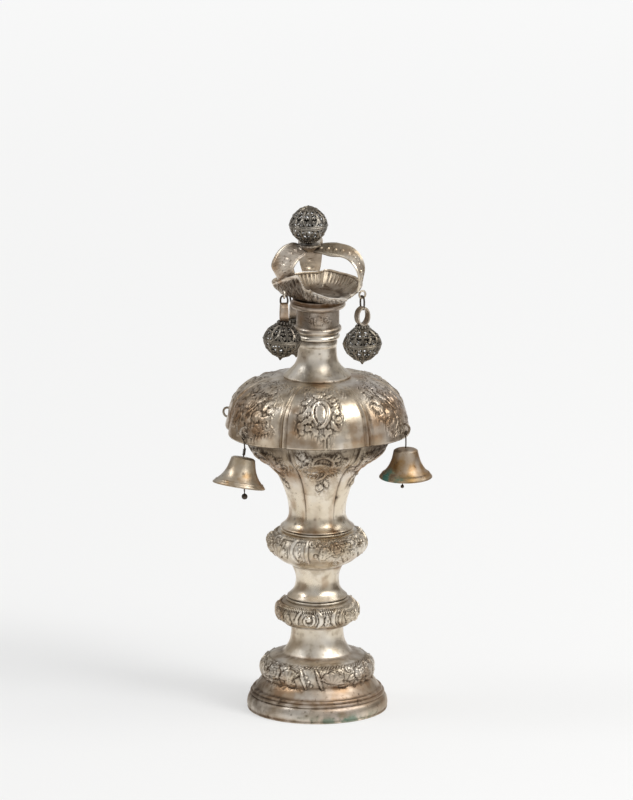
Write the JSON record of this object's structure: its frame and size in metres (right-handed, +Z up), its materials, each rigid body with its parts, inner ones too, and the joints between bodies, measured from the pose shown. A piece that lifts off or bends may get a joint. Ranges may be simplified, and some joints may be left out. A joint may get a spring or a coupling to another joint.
{
  "type": "torah_finial_rimmon_belled_baluster_with_crown",
  "caption": "Silver Torah finial: a lobed, chased baluster on a stepped foot, hung with small bells, with a slender neck and an open crown holding filigree balls.",
  "frame": {"origin": "on the body's axis in the plane of the foot's underside, where the stave enters", "axes": "+Z up along the body's axis, -Y towards the side whose dome lobe is knocked flat, +X to its right as seen from there"},
  "size_m": [0.1082, 0.1072, 0.2581],
  "materials": {
    "silver": "aged, softly polished silver with brown and grey tarnish in the chasing",
    "bell_metal": "worn gilt silver, dull gold over grey, with some verdigris",
    "filigree": "dark oxidised filigree with bright rubbed wires",
    "wire": "dark dull wire"
  },
  "bodies": {
    "root": {"foot": "silver", "lower_knop": "silver", "waist": "silver", "upper_knop": "silver", "calyx": "silver", "dome": "silver", "neck": "silver", "collar": "silver", "crown_bowl": "silver", "crown_disc": "silver", "top_ball": "filigree", "arch_right": "silver", "arch_back": "silver", "arch_left": "silver", "ball_right": "filigree", "strap_right": "silver", "link_right": "wire", "eyelet_right": "silver", "ball_back": "filigree", "strap_back": "silver", "link_back": "wire", "eyelet_back": "silver", "ball_left": "filigree", "strap_left": "silver", "link_left": "wire", "eyelet_left": "silver", "ring_left": "silver", "ring_right": "silver", "ring_back": "silver", "ring_far_left": "silver", "ring_far_right": "silver", "bell_left": "bell_metal", "hook_left": "wire", "clapper_left": "wire", "bell_right": "bell_metal", "hook_right": "wire", "clapper_right": "wire", "bell_back": "bell_metal", "hook_back": "wire", "clapper_back": "wire"}
  },
  "joints": []
}
